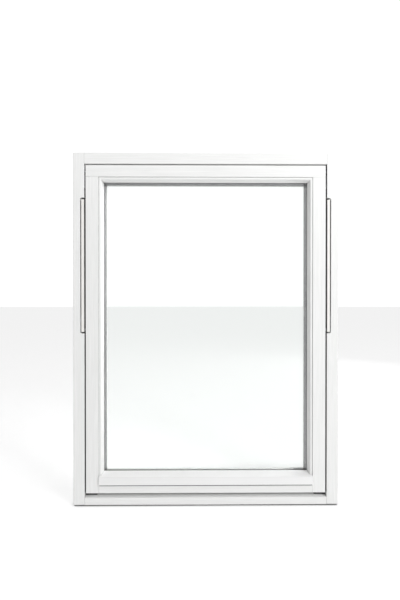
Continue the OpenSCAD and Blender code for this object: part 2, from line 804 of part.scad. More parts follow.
module handle_base() {
    half_h = 13;
    color("lightgray") difference() {
        union() {
            for (s = [-1, 1]) rod_y(half_h, base_u, s * 18, lock_z);
            bar([-18, 18], base_u, [lock_z - half_h, lock_z + half_h]);
        }
        rod_y(8.3, [base_u[0] - eps, base_u[1] + eps], 0, lock_z);
        for (s = [-1, 1]) {
            rod_y(screw_r + fit, [base_u[0] - eps, base_u[1] + eps], s * handle_screw_x, lock_z);
            rod_y(screw_head_r + fit, [base_u[1] - 2, base_u[1] + eps], s * handle_screw_x, lock_z);
        }
    }
}

module handle_screws() {
    color(zinc) for (s = [-1, 1]) {
        rod_y(screw_r, [sash_back - 8, base_u[1] - 1.9], s * handle_screw_x, lock_z);
        rod_y(screw_head_r, [base_u[1] - 1.95, base_u[1] - 0.2], s * handle_screw_x, lock_z);
    }
}

// Cast lever: a round neck and a grip that narrows slightly towards its end.
module handle_lever() {
    color("lightgray") difference() {
        union() {
            rod_y(8, [base_u[0] + 1, lever_u[0] + 1], 0, lock_z);
            hull() {
                rod_y(9, lever_u, 0, lock_z);
                rod_y(7, [lever_u[0] + 1, lever_u[1] - 1], -lever_l + 9, lock_z);
            }
        }
        square_bar(4.1, [base_u[0], sash_back + 32.5]);
    }
}

frame_jamb_left();
frame_jamb_right();
frame_head();
frame_sill();
seal_left();
seal_right();
seal_top();
seal_bottom();
track_left();
track_right();
stay_base_left();
stay_base_right();
keeper_left();
keeper_right();
corner_screws();
frame_fitting_screws();
stay_arm_left();
stay_arm_right();
arm_washers();
slide_shoe_left();
slide_shoe_right();
sash_stile_left();
sash_stile_right();
sash_top_rail();
sash_bottom_rail();
bead_left();
bead_right();
bead_top();
bead_pins();
drip_bead();
drip_bead_caps();
outer_pane();
middle_pane();
inner_pane();
spacer_outer();
spacer_inner();
edge_seal();
glazing_gasket_outer();
glazing_gasket_inner();
setting_blocks();
sash_bracket_left();
sash_bracket_right();
sash_corner_screws();
bracket_screws();
lock_case();
lock_faceplate();
lock_rod_left();
lock_rod_right();
lock_cam_left();
lock_cam_right();
drive_gear();
handle_spindle();
handle_base();
handle_screws();
handle_lever();
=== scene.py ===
import json
import math

import bmesh
import bpy
import numpy as np
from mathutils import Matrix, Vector


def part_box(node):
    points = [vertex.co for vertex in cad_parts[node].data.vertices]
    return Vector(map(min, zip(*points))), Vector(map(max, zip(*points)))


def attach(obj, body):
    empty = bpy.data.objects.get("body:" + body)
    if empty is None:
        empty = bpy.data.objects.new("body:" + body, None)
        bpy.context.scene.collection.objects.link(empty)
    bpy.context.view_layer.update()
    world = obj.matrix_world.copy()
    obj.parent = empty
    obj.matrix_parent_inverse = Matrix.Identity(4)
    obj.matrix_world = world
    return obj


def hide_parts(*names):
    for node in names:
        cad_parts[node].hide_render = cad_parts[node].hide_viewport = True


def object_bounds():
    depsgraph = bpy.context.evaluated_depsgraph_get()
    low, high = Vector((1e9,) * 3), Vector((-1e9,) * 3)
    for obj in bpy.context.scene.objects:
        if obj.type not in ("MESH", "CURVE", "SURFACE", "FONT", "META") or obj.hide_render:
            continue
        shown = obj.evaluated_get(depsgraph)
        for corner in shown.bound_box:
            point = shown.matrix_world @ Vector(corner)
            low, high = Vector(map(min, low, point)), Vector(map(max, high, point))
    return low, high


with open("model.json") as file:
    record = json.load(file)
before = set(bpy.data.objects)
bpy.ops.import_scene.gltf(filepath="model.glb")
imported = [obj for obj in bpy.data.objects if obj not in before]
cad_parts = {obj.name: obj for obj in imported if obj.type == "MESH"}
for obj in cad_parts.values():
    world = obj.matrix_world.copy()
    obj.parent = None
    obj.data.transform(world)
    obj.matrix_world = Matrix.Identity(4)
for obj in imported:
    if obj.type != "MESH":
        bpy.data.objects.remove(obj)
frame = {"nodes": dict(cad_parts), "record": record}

MM = 0.001
cad_low, cad_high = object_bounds()

# ---- Studio --------------------------------------------------------------
# A pale seamless floor, white surroundings, a large soft lamp to the right of
# the window, one above it and one behind it. The camera stands on the window's
# outer side, a little left of its middle and at sash height.

outer_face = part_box("frame_sill")[0].y
view_distance = 1.29
eye_aside, eye_height = -0.0304, 0.6948
look_down, look_right = math.radians(0.307), math.radians(0.468)
eye = Vector((eye_aside, outer_face - view_distance, eye_height))
camera_data = bpy.data.cameras.new("camera")
camera_data.lens = 23.12
camera_data.sensor_width = 36
camera_data.clip_start = 0.02
camera = bpy.data.objects.new("camera", camera_data)
camera.location = eye
camera.rotation_euler = (math.radians(90) - look_down, 0, -look_right)
bpy.context.scene.collection.objects.link(camera)
bpy.context.scene.camera = camera
bpy.context.scene.view_settings.view_transform = "Standard"

world = bpy.data.worlds.new("studio")
world.use_nodes = True
sky = world.node_tree
seen_strength = 1.12
lit_strength = 0.28
ray = sky.nodes.new("ShaderNodeLightPath")
seen = sky.nodes.new("ShaderNodeMath")
seen.operation = "MAXIMUM"
strength = sky.nodes.new("ShaderNodeMapRange")
strength.inputs["To Min"].default_value = lit_strength
strength.inputs["To Max"].default_value = seen_strength
sky.links.new(ray.outputs["Is Camera Ray"], seen.inputs[0])
sky.links.new(ray.outputs["Is Transmission Ray"], seen.inputs[1])
sky.links.new(seen.outputs["Value"], strength.inputs["Value"])
sky.links.new(strength.outputs["Result"], sky.nodes["Background"].inputs["Strength"])
sky.nodes["Background"].inputs["Color"].default_value = (1, 1, 1, 1)
bpy.context.scene.world = world


def soft_lamp(name, place, target, size, power):
    """A square area lamp at place, facing target."""
    lamp_data = bpy.data.lights.new(name, "AREA")
    lamp_data.size = size
    lamp_data.energy = power
    lamp = bpy.data.objects.new(name, lamp_data)
    lamp.location = place
    aim = Vector(target) - Vector(place)
    lamp.rotation_euler = aim.to_track_quat("-Z", "Y").to_euler()
    bpy.context.scene.collection.objects.link(lamp)


soft_lamp("lamp_right", (2.6, -2.8, 2.6), (0.1, 0, 0.7), 1.2, 90)
soft_lamp("lamp_top", (0.2, -1.2, 3.2), (0, -0.3, 0), 1.4, 20)
soft_lamp("lamp_back", (1.9, 2.8, 1.2), (0, 0, 0.6), 1.2, 9)


def new_material(name):
    """An empty node material: returns it with its tree and its Principled shader."""
    material = bpy.data.materials.new(name)
    material.use_nodes = True
    return material, material.node_tree, material.node_tree.nodes["Principled BSDF"]


def object_point(tree, scale):
    """Object coordinates stretched by scale = (x, y, z)."""
    place = tree.nodes.new("ShaderNodeTexCoord")
    mapping = tree.nodes.new("ShaderNodeMapping")
    mapping.inputs["Scale"].default_value = scale
    tree.links.new(place.outputs["Object"], mapping.inputs["Vector"])
    return mapping.outputs["Vector"]


def noise(tree, scale, detail=3.0, stretch=(1, 1, 1), distortion=0.0):
    """Noise of about scale features to the metre."""
    node = tree.nodes.new("ShaderNodeTexNoise")
    node.inputs["Scale"].default_value = scale
    node.inputs["Detail"].default_value = detail
    node.inputs["Distortion"].default_value = distortion
    tree.links.new(object_point(tree, stretch), node.inputs["Vector"])
    return node.outputs["Fac"]


def remap(tree, value, low, high, start=0.3, end=0.7):
    """value from start to end becomes low to high."""
    node = tree.nodes.new("ShaderNodeMapRange")
    for socket, number in zip(("From Min", "From Max", "To Min", "To Max"), (start, end, low, high)):
        node.inputs[socket].default_value = number
    tree.links.new(value, node.inputs["Value"])
    return node.outputs["Result"]


def tint(tree, value, dark, light, start=0.3, end=0.7):
    """A colour between dark and light as value goes from start to end."""
    node = tree.nodes.new("ShaderNodeValToRGB")
    node.color_ramp.elements[0].position = start
    node.color_ramp.elements[0].color = (*dark, 1)
    node.color_ramp.elements[1].position = end
    node.color_ramp.elements[1].color = (*light, 1)
    tree.links.new(value, node.inputs["Fac"])
    return node.outputs["Color"]


def raised(tree, height, strength, depth, below=None):
    """A bump of the given depth in metres, on top of an earlier bump."""
    node = tree.nodes.new("ShaderNodeBump")
    node.inputs["Strength"].default_value = strength
    node.inputs["Distance"].default_value = depth
    tree.links.new(height, node.inputs["Height"])
    if below is not None:
        tree.links.new(below, node.inputs["Normal"])
    return node.outputs["Normal"]


def link_looks(tree, shader, colour, roughness, normal):
    """Connects a colour, a roughness and a normal to the shader."""
    tree.links.new(colour, shader.inputs["Base Color"])
    tree.links.new(roughness, shader.inputs["Roughness"])
    tree.links.new(normal, shader.inputs["Normal"])


def shaded_in_joints(tree, colour, shade_colour, reach):
    """Painted shade: colour going over to a darker shade colour, by ambient occlusion, where faces
    stand closer than reach metres to each other.
    """
    open_share = tree.nodes.new("ShaderNodeAmbientOcclusion")
    open_share.samples = 6
    open_share.inputs["Distance"].default_value = reach
    mix = tree.nodes.new("ShaderNodeMix")
    mix.data_type = "RGBA"
    mix.inputs["A"].default_value = (*shade_colour, 1)
    tree.links.new(remap(tree, open_share.outputs["AO"], 0, 1, 0.15, 0.7), mix.inputs["Factor"])
    tree.links.new(colour, mix.inputs["B"])
    return mix.outputs["Result"]


floor_half = 30.0
floor_drop = 3 * MM
floor_glow = 0.78
shade_reach = 30 * MM


def floor_material():
    """Pale matt studio board with a very faint mottle and a glow, with painted shadow close under the
    object.
    """
    material, tree, shader = new_material("studio_floor")
    mottle = noise(tree, 6, 2)
    board = tint(tree, mottle, (0.36, 0.36, 0.36), (0.38, 0.38, 0.38))
    glow = tint(tree, mottle, (0.99, 0.99, 0.99), (1, 1, 1))
    # Painted shadow: colour and glow both go over to black within shade_reach of the window.
    link_looks(tree, shader, shaded_in_joints(tree, board, (0, 0, 0), shade_reach),
               remap(tree, mottle, 0.75, 0.85), raised(tree, noise(tree, 300, 2), 0.05, 0.0005))
    tree.links.new(shaded_in_joints(tree, glow, (0, 0, 0), shade_reach), shader.inputs["Emission Color"])
    shader.inputs["Specular IOR Level"].default_value = 0.1
    shader.inputs["Emission Strength"].default_value = floor_glow
    return material


floor_data = bpy.data.meshes.new("studio_floor")
corner = np.array([[-1, -1, 0], [1, -1, 0], [1, 1, 0], [-1, 1, 0]]) * floor_half
floor_data.from_pydata((corner + [0, 0, -floor_drop]).tolist(), [], [(0, 1, 2, 3)])
floor_data.materials.append(floor_material())
floor = bpy.data.objects.new("studio_floor", floor_data)
bpy.context.scene.collection.objects.link(floor)

# ---- Frame timber --------------------------------------------------------
# Two jambs, a head and a sloped sill of planed pine, joined with screws and
# sprayed white. The arrises are eased so that the paint holds on them, and a
# trace of the grain shows through the film.


def painted_timber(name, along, shade_colour, reach):
    """White paint on pine: grain runs along axis number along, under a fine spray texture."""
    material, tree, shader = new_material(name)
    stretch = [1.0, 1.0, 1.0]
    stretch[along] = 0.035
    grain = noise(tree, 260, 4, stretch, 0.6)
    spray = noise(tree, 1300, 2)
    white = tint(tree, grain, (0.785, 0.79, 0.78), (0.865, 0.865, 0.86), 0.25, 0.75)
    # Painted shade: the white darkens in gaps, joints and crevices, by ambient occlusion.
    white = shaded_in_joints(tree, white, shade_colour, reach)
    relief = raised(tree, grain, 0.32, 0.0005)
    relief = raised(tree, spray, 0.12, 0.0003, relief)
    link_looks(tree, shader, white, remap(tree, spray, 0.34, 0.46), relief)
    shader.inputs["Coat Weight"].default_value = 0.15
    shader.inputs["Coat Roughness"].default_value = 0.3
    return material


# The dark colours here are painted shade for gaps: near black reaching 11 mm on the uprights, grey
# reaching 5 mm across.
paint_upright = painted_timber("paint_upright", 2, (0.012, 0.012, 0.012), 11 * MM)
paint_across = painted_timber("paint_across", 0, (0.22, 0.22, 0.20), 5 * MM)


def finish_mesh(piece, smooth_angle=35):
    """Smooth shading, with creases kept where faces meet at more than smooth_angle degrees."""
    mesh = piece.data
    mesh.polygons.foreach_set("use_smooth", np.ones(len(mesh.polygons), bool))
    mesh.set_sharp_from_angle(angle=math.radians(smooth_angle))


def eased(node, radius, material, shortest=0.015, steps=3, inner=1.0):
    """A welded copy of a CAD node whose long arrises, over shortest metres, are rounded to radius,
    or to the share inner of it where they don't lie on the window's outline."""
    mesh = frame["nodes"][node].data.copy()
    mesh.materials.clear()
    mesh.materials.append(material)
    shape = bmesh.new()
    shape.from_mesh(mesh)
    bmesh.ops.remove_doubles(shape, verts=shape.verts, dist=2e-6)
    bmesh.ops.dissolve_limit(shape, angle_limit=math.radians(0.5), verts=shape.verts,
                             edges=shape.edges)
    weight = shape.edges.layers.float.new("bevel_weight_edge")
    for edge in shape.edges:
        sharp = len(edge.link_faces) == 2 and edge.calc_face_angle() > math.radians(40)
        middle = (edge.verts[0].co + edge.verts[1].co) / 2
        on_outline = min(cad_high[0] - abs(middle.x), middle.z, cad_high[2] - middle.z) < 0.1 * MM
        size = 1.0 if on_outline else inner
        edge[weight] = size if sharp and edge.calc_length() > shortest else 0.0
    shape.to_mesh(mesh)
    shape.free()
    piece = bpy.data.objects.new(node + "_eased", mesh)
    bpy.context.scene.collection.objects.link(piece)
    finish_mesh(piece)
    rounding = piece.modifiers.new("arris", "BEVEL")
    rounding.limit_method = "WEIGHT"
    rounding.width = radius
    rounding.segments = steps
    rounding.use_clamp_overlap = False
    shading = piece.modifiers.new("flat_faces", "WEIGHTED_NORMAL")
    shading.keep_sharp = True
    shading.weight = 100
    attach(piece, body_with[node])
    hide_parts(node)
    return piece


body_with = {node: body for body, nodes in frame["record"]["behaviour"]["bodies"].items()
             for node in nodes}
arris = 1.1 * MM
outer_arris = 2.2 * MM
for name in ("frame_jamb_left", "frame_jamb_right"):
    eased(name, outer_arris, paint_upright, inner=arris / outer_arris)
for name in ("frame_head", "frame_sill"):
    eased(name, outer_arris, paint_across, inner=arris / outer_arris)

# ---- Weather seals -------------------------------------------------------
# Black EPDM sections pushed into the stops: a flat foot, a thin neck and a soft
# bulb that the closed sash presses. Two ribbed rubber blocks stand at the ends
# of the sill, under the sash's corners.


def rubber_material():
    """Matt black rubber with fine extrusion lines and dusty patches."""
    material, tree, shader = new_material("seal_rubber")
    dust = noise(tree, 40, 4)
    grain = noise(tree, 1800, 2)
    link_looks(tree, shader, tint(tree, dust, (0.014, 0.014, 0.015), (0.035, 0.034, 0.033)),
               remap(tree, grain, 0.55, 0.75), raised(tree, grain, 0.12, 0.0002))
    shader.inputs["Sheen Weight"].default_value = 0.15
    return material


rubber = rubber_material()


def shell(grid, closed_path=False):
    """A grid of points, rows by columns, as points, quads and end loops. Each row is a closed loop;
    every point is joined to its neighbours in the next row and column. The two end rows are
    closed by one face each, or joined to each other on a closed path."""
    if closed_path:
        grid = np.concatenate([grid, grid[:1]])
    rows, columns = grid.shape[:2]
    ids = np.arange(rows * columns).reshape(rows, columns)
    wide = np.hstack([ids, ids[:, :1]])
    quads = np.stack([wide[:-1, :-1], wide[:-1, 1:], wide[1:, 1:], wide[1:, :-1]], -1)
    loops = [] if closed_path else [ids[0], ids[-1]]
    return grid.reshape(-1, 3), quads.reshape(-1, 4), loops


def carried(profile, spots, side, up, closed_path=False):
    """A closed profile carried along a path: point = spot + s times side + t times up, for each
    (s, t) of the profile at each spot. side and up hold one direction a spot, or one for all."""
    side = np.broadcast_to(side, spots.shape)
    up = np.broadcast_to(up, spots.shape)
    grid = (spots[:, None] + profile[None, :, :1] * side[:, None]
            + profile[None, :, 1:] * up[:, None])
    return shell(grid, closed_path)


def rounded(corners, radius, steps=4):
    """A closed outline with each corner c replaced by the curve (1-t)^2 a + 2t(1-t) c + t^2 b,
    where a and b lie radius away from c along its two edges and t runs from 0 to 1."""
    corners = np.array(corners, float)
    radius = np.broadcast_to(radius, len(corners))[:, None]
    back = np.roll(corners, 1, 0) - corners
    ahead = np.roll(corners, -1, 0) - corners
    start = corners + radius * back / np.linalg.norm(back, axis=1, keepdims=True)
    end = corners + radius * ahead / np.linalg.norm(ahead, axis=1, keepdims=True)
    t = np.linspace(0, 1, steps + 1)[None, :, None]
    curve = (1 - t) ** 2 * start[:, None] + 2 * t * (1 - t) * corners[:, None] + t ** 2 * end[:, None]
    return curve.reshape(-1, 2)


def assemble(node, shells, material, smooth_angle=35, name=None):
    """One piece from closed shells, in place of a CAD node, or beside it when it has its own name.
    Points are stacked and faces shifted to match, doubles merged and faces turned outwards."""
    starts = np.cumsum([0] + [len(points) for points, _, _ in shells])
    faces = []
    for start, (_, quads, loops) in zip(starts, shells):
        faces += (quads + start).tolist() + [(loop + start).tolist() for loop in loops]
    piece_name = name or node + "_made"
    mesh = bpy.data.meshes.new(piece_name)
    mesh.from_pydata(np.concatenate([points for points, _, _ in shells]).tolist(), [], faces)
    shape = bmesh.new()
    shape.from_mesh(mesh)
    bmesh.ops.remove_doubles(shape, verts=shape.verts, dist=1e-6)
    bmesh.ops.recalc_face_normals(shape, faces=shape.faces)
    shape.to_mesh(mesh)
    shape.free()
    mesh.materials.append(material)
    piece = bpy.data.objects.new(piece_name, mesh)
    bpy.context.scene.collection.objects.link(piece)
    finish_mesh(piece, smooth_angle)
    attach(piece, body_with[node])
    if name is None:
        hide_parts(node)
    return piece


def seal_profile(height):
    """A seal's section standing on its foot: a flat foot with rounded edges, a neck, and a round
    bulb, which is an arc of radius bulb_r about a point bulb_r below the top."""
    bulb_r, foot_half, foot_top, neck = 1.5, 3.5, 1.4, 0.7
    start = np.arcsin(np.clip((foot_top + 0.1 - height + bulb_r) / bulb_r, -0.85, 1))
    angle = np.linspace(start, np.pi - start, 21)
    bulb = np.stack([bulb_r * np.cos(angle), height - bulb_r + bulb_r * np.sin(angle)], 1)
    right = np.array([[foot_half - 0.3, 0], [foot_half, 0.35], [foot_half - 0.25, 0.95],
                      [foot_half - 0.9, foot_top - 0.1], [neck + 0.3, foot_top]])
    left = (right * [-1, 1])[::-1]
    return np.concatenate([right, bulb, left]) * MM


def weather_seal(node, run, width, rise, sign):
    """The seal profile carried along axis number run, its foot across axis width, rising along
    axis rise in the direction of sign."""
    low, high = np.array(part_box(node))
    stations = 60
    spots = np.tile((low + high) / 2, (stations, 1))
    spots[:, run] = np.linspace(low[run], high[run], stations)
    spots[:, rise] = low[rise] if sign > 0 else high[rise]
    axes = np.eye(3)
    profile = seal_profile((high - low)[rise] / MM)
    assemble(node, [carried(profile, spots, axes[width], sign * axes[rise])], rubber, 50)


X, Y, Z = 0, 1, 2
weather_seal("seal_left", Z, X, Y, -1)
weather_seal("seal_right", Z, X, Y, -1)
weather_seal("seal_top", X, Y, Z, -1)
weather_seal("seal_bottom", X, Z, Y, -1)

buffer_length = 38 * MM
buffer_ribs = 8
buffer_front = outer_face + 16 * MM
buffer_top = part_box("sash_bottom_rail")[0].z - 0.6 * MM
sill_end = np.array(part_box("frame_sill"))[1, 0]
buffer_section = rounded([(buffer_front, 27 * MM), (buffer_front + 11 * MM, 28.6 * MM),
                          (buffer_front + 10 * MM, buffer_top), (buffer_front + MM, buffer_top)],
                         np.array([0.4, 0.4, 2.5, 2.5]) * MM)


def sill_buffer(sign):
    """A rubber block at an end of the sill: its rounded section carried across, lower at the ribs,
    where the cosine of buffer_ribs turns over the length is negative."""
    t = np.linspace(0, 1, 8 * buffer_ribs + 1)
    x = sign * (sill_end - 0.3 * MM - t * buffer_length)
    draw = 0.06 * np.clip(-np.cos(2 * buffer_ribs * np.pi * t), 0, 1)
    floor_z = buffer_section[:, 1].min()
    z = floor_z + (1 - draw)[:, None] * (buffer_section[None, :, 1] - floor_z)
    y = np.broadcast_to(buffer_section[:, 0], z.shape)
    return shell(np.stack([np.broadcast_to(x[:, None], z.shape), y, z], -1))


assemble("seal_bottom", [sill_buffer(-1), sill_buffer(1)], rubber, 40, "sill_buffers")

# ---- Fittings on the frame -----------------------------------------------
# Zinc-plated steel: the tracks let into the jambs, the stay bases with their
# pivot pins, the lock keepers on the sill, and their screws.


def zinc_material():
    """Bright zinc plate: cloudy spangle, fine drawing lines and dull spots."""
    material, tree, shader = new_material("zinc_plate")
    cloud = noise(tree, 90, 4)
    fine = noise(tree, 900, 3, (1, 1, 0.1))
    link_looks(tree, shader, tint(tree, cloud, (0.55, 0.56, 0.58), (0.74, 0.75, 0.77)),
               remap(tree, cloud, 0.26, 0.42), raised(tree, fine, 0.08, 0.0002))
    shader.inputs["Metallic"].default_value = 1.0
    return material


zinc = zinc_material()
plate_edge, plate_shortest = 0.3 * MM, 6 * MM
for name in ("track_left", "track_right", "stay_base_left", "stay_base_right", "keeper_left",
             "keeper_right"):
    eased(name, plate_edge, zinc, plate_shortest, 2)


def solids(node):
    """Lowest and highest corners of each separate solid of a CAD node. Every point starts with a
    label of its own, and each triangle gives its lowest label to its corners until none change."""
    mesh = frame["nodes"][node].data
    points = np.empty(3 * len(mesh.vertices))
    mesh.vertices.foreach_get("co", points)
    corners = np.empty(3 * len(mesh.polygons), int)
    mesh.polygons.foreach_get("vertices", corners)
    points, same = np.unique(np.round(points.reshape(-1, 3), 6), axis=0, return_inverse=True)
    corners = same.ravel()[corners].reshape(-1, 3)
    label = np.arange(len(points))
    settled = False
    while not settled:
        lower = label.copy()
        np.minimum.at(lower, corners, label[corners].min(1)[:, None].repeat(3, 1))
        settled = (lower == label).all()
        label = lower
    return [(points[label == one].min(0), points[label == one].max(0)) for one in np.unique(label)]


def across(axis):
    """Two directions at right angles to an axis."""
    side = np.cross(axis, (1, 0, 0) if abs(axis[2]) > 0.9 else (0, 0, 1))
    side = side / np.linalg.norm(side)
    return side, np.cross(axis, side)


def turned(radius, height, centre, axis, columns=32, closed_path=False):
    """A surface around an axis: point = centre + radius (cos a side + sin a up) + height axis.
    radius and height are columns of numbers, or grids where they change with the angle a."""
    angle = np.arange(columns) * 2 * np.pi / columns
    side, up = across(axis)
    ring = np.cos(angle)[:, None] * side + np.sin(angle)[:, None] * up
    radius = np.broadcast_to(radius, (len(radius), columns))[:, :, None]
    height = np.broadcast_to(height, (len(radius), columns))[:, :, None]
    return shell(centre + radius * ring[None] + height * np.array(axis, float), closed_path)


def screw(head, axis, head_r, head_h, shank_r, length, columns=32):
    """A cross-recessed wood screw whose head's face is centred on head, axis pointing out of it.
    The head's height falls with the square of its radius, less a cross where either coordinate
    is small. The thread's radius swings with the sine of its turns less the angle."""
    angle = (np.arange(columns) * 2 * np.pi / columns)[None]
    share = np.linspace(0, 1, 12)[:, None]
    r_top = head_r * 0.96 * share
    narrow = np.minimum(abs(r_top * np.cos(angle)), abs(r_top * np.sin(angle))) / head_r
    cross = np.clip(1.9 - narrow / 0.075, 0, 1) * np.clip((0.6 - share) / 0.12, 0, 1)
    z_top = head_h * (0.25 * (1 - share ** 2) - 0.25) - 0.55 * head_h * cross
    r_top = np.broadcast_to(r_top, z_top.shape)
    r_edge = np.array([[1.0], [1.0], [0.96], [shank_r / head_r * 1.3]]) * head_r
    z_edge = np.array([[-0.35], [-0.75], [-0.98], [-1.0]]) * head_h
    pitch, ridge = shank_r * 0.9, shank_r * 0.14
    steps = int(min(90, length / pitch * 6))
    depth = np.linspace(head_h, length, steps)[:, None]
    fade = np.clip((length - depth) / (2.2 * shank_r), 0, 1) ** 0.7
    cut = np.clip((depth - head_h) / length * 5 - 0.6, 0, 1)
    turns = np.cos(2 * np.pi * depth / pitch - angle)
    r_thread = (shank_r - ridge + ridge * cut * turns) * fade
    z_thread = np.broadcast_to(-depth, r_thread.shape)
    edge_shape = (4, columns)
    return turned(np.concatenate([r_top, np.broadcast_to(r_edge, edge_shape), r_thread]),
                  np.concatenate([z_top, np.broadcast_to(z_edge, edge_shape), z_thread]),
                  head, axis, columns)


def screws(node, head_r, head_h, shank_r, axis_of):
    """A screw in place of each solid of a CAD node. axis_of gives the way a solid's head faces."""
    made = []
    for low, high in solids(node):
        axis = np.array(axis_of(low, high), float)
        middle = (low + high) / 2
        length = abs(axis) @ (high - low)
        made.append(screw(middle + axis * length / 2, axis, head_r * MM, head_h * MM,
                          shank_r * MM, length))
    assemble(node, made, zinc, 40)


def outward(low, high):
    """Heads face away from the window's middle."""
    return (np.sign(low[0] + high[0]), 0, 0)


def fitting_side(low, high):
    """Heads face the middle, or up where the screw stands in the sill."""
    upright = high[2] - low[2] > high[0] - low[0]
    return (0, 0, 1) if upright else (-np.sign(low[0] + high[0]), 0, 0)


fitting_screw = (3.4, 1.4, 1.9)
screws("corner_screws", 5.8, 3.9, 2.9, outward)
screws("frame_fitting_screws", *fitting_screw, fitting_side)

# ---- Stay arms and shoes -------------------------------------------------
# Pressed steel angles, lacquered a pale cream, that carry the sash from the
# jambs, and the nylon shoes that guide its top in the tracks.


def cream_lacquer():
    """Thin cream lacquer over plated steel, worn a little glossier on its faces, with painted shade
    in recesses and close to other parts.
    """
    material, tree, shader = new_material("stay_lacquer")
    cloud = noise(tree, 30, 4)
    cream = tint(tree, cloud, (0.84, 0.825, 0.79), (0.89, 0.88, 0.85))
    # Painted shade: the cream goes over to near black in the notches and beside other parts, by
    # ambient occlusion.
    link_looks(tree, shader, shaded_in_joints(tree, cream, (0.02, 0.02, 0.02), 12 * MM),
               remap(tree, cloud, 0.3, 0.42), raised(tree, noise(tree, 1100, 2), 0.06, 0.0002))
    shader.inputs["Coat Weight"].default_value = 0.2
    return material


def moulded_plastic(name, dark, light):
    """Moulded plastic with a fine spark-eroded texture."""
    material, tree, shader = new_material(name)
    fine = noise(tree, 1500, 2)
    link_looks(tree, shader, tint(tree, noise(tree, 60, 3), dark, light),
               remap(tree, fine, 0.4, 0.55), raised(tree, fine, 0.1, 0.0002))
    return material


lacquer = cream_lacquer()
nylon = moulded_plastic("shoe_nylon", (0.035, 0.035, 0.037), (0.055, 0.055, 0.058))
for name in ("stay_arm_left", "stay_arm_right"):
    eased(name, 0.5 * MM, lacquer, 0.008)


def washers(node, bore_r, edge):
    """A flat ring in place of each thin solid: a rounded section turned about the x axis."""
    made = []
    for low, high in solids(node):
        outer_r = (high[2] - low[2]) / 2
        thick = high[0] - low[0]
        section = rounded([(bore_r, 0), (outer_r, 0), (outer_r, thick), (bore_r, thick)], edge)
        centre = (low + high) / 2 * [0, 1, 1] + [low[0], 0, 0]
        made.append(turned(np.append(section[:, 0], section[0, 0])[:, None],
                           np.append(section[:, 1], section[0, 1])[:, None],
                           centre, (1, 0, 0), 48, True))
    assemble(node, made, nylon)


pin_bore_r = 3.06 * MM
shoe_edge = 0.7 * MM


def slide_shoe(node):
    """A shoe with round ends and a bore. Its section runs from the bore to the rim and back, with
    rounded edges; at angle a the rim is a half circle's point pushed up or down by the straight."""
    low, high = np.array(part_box(node))
    centre = (low + high) / 2
    thick = high[0] - low[0]
    round_r = (high[1] - low[1]) / 2
    straight = (high[2] - low[2]) / 2 - round_r
    angle = np.linspace(0, 2 * np.pi, 64, endpoint=False)
    way = np.stack([np.cos(angle), np.sin(angle)], 1)
    rim = round_r * way + straight * np.stack([0 * angle, np.sign(np.round(way[:, 1], 9))], 1)
    bore = pin_bore_r * way
    section = rounded([(0, 0), (round_r, 0), (round_r, thick), (0, thick)], shoe_edge)
    section = section / [round_r, 1]
    flat = bore[None] + section[:, :1, None] * (rim - bore)[None]
    deep = np.broadcast_to(section[:, 1:, None] - thick / 2, flat.shape[:2] + (1,))
    assemble(node, [shell(centre + np.concatenate([deep, flat], 2), True)], nylon)


washers("arm_washers", 3.1 * MM, 0.15 * MM)
slide_shoe("slide_shoe_left")
slide_shoe("slide_shoe_right")

# ---- Sash timber ---------------------------------------------------------
# Planed and sprayed pine: two stiles under a full-width top rail, and a bottom
# rail between them whose lower edge is grooved for the lock. Screws hold the
# corners.

for name in ("sash_stile_left", "sash_stile_right"):
    eased(name, arris, paint_upright)
for name in ("sash_top_rail", "sash_bottom_rail"):
    eased(name, arris, paint_across)

# ---- Glazing beads -------------------------------------------------------
# Painted pine beads pinned into the rebate, mitred at the top corners. Each has
# a flat face, a rounded nose and a slope down to the glass.

bead_face = 8 * MM
bead_gap = 0.3 * MM
bead_low, bead_high = np.array(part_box("bead_right"))
slope_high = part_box("drip_bead")[1].z


def bead_section(joint, sight, front, back):
    """A bead's section from its joint with the timber to the sight line, corners rounded."""
    toward = np.sign(sight - joint)
    gap = joint + toward * bead_gap
    return rounded([(gap, front), (joint + toward * bead_face, front), (sight, back), (gap, back)],
                   np.array([1.0, 2.6, 0.5, 0.4]) * MM, 6)


def side_bead(node, sign):
    """The section carried upwards. Its foot lies on the drip bead's slope, a straight line in
    depth, and its head on the mitre, a straight line in width."""
    section = bead_section(bead_high[0], bead_low[0], bead_low[1], bead_high[1])
    depth_share = (section[:, 1] - bead_low[1]) / (bead_high[1] - bead_low[1])
    foot = bead_low[2] + depth_share * (slope_high - bead_low[2])
    head = bead_high[2] - (bead_high[0] - section[:, 0])
    t = np.linspace(0, 1, 40)[:, None]
    z = foot[None] + t * (head - foot)[None]
    x = np.broadcast_to(sign * section[:, 0], z.shape)
    y = np.broadcast_to(section[:, 1], z.shape)
    assemble(node, [shell(np.stack([x, y, z], -1))], paint_upright, 40)


def top_bead(node):
    """The same section lying along the top, mitred at both ends."""
    low, high = np.array(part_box(node))
    section = bead_section(high[2], low[2], low[1], high[1])
    reach = high[0] - (high[2] - section[:, 0])
    t = np.linspace(-1, 1, 60)[:, None]
    x = t * reach[None]
    y = np.broadcast_to(section[:, 1], x.shape)
    z = np.broadcast_to(section[:, 0], x.shape)
    assemble(node, [shell(np.stack([x, y, z], -1))], paint_across, 40)


side_bead("bead_left", -1)
side_bead("bead_right", 1)
top_bead("bead_top")


def pins(node):
    """A headed pin in place of each solid: a shank turned about its own axis, with a point."""
    made = []
    for low, high in solids(node):
        run = int(np.argmax(high - low))
        axis = np.zeros(3)
        axis[run] = -1.0 if run == 2 else -np.sign(low[0] + high[0])
        length = (high - low)[run]
        radius = np.array([0, 0.78, 0.8, 0.62, 0.6, 0.6, 0])[:, None] * MM
        height = np.array([0, 0, 0.05, 0.09, 0.12, 0.85, 1.0])[:, None] * -length
        made.append(turned(radius, height, (low + high) / 2 + axis * length / 2, axis, 16))
    assemble(node, made, zinc, 50)


pins("bead_pins")
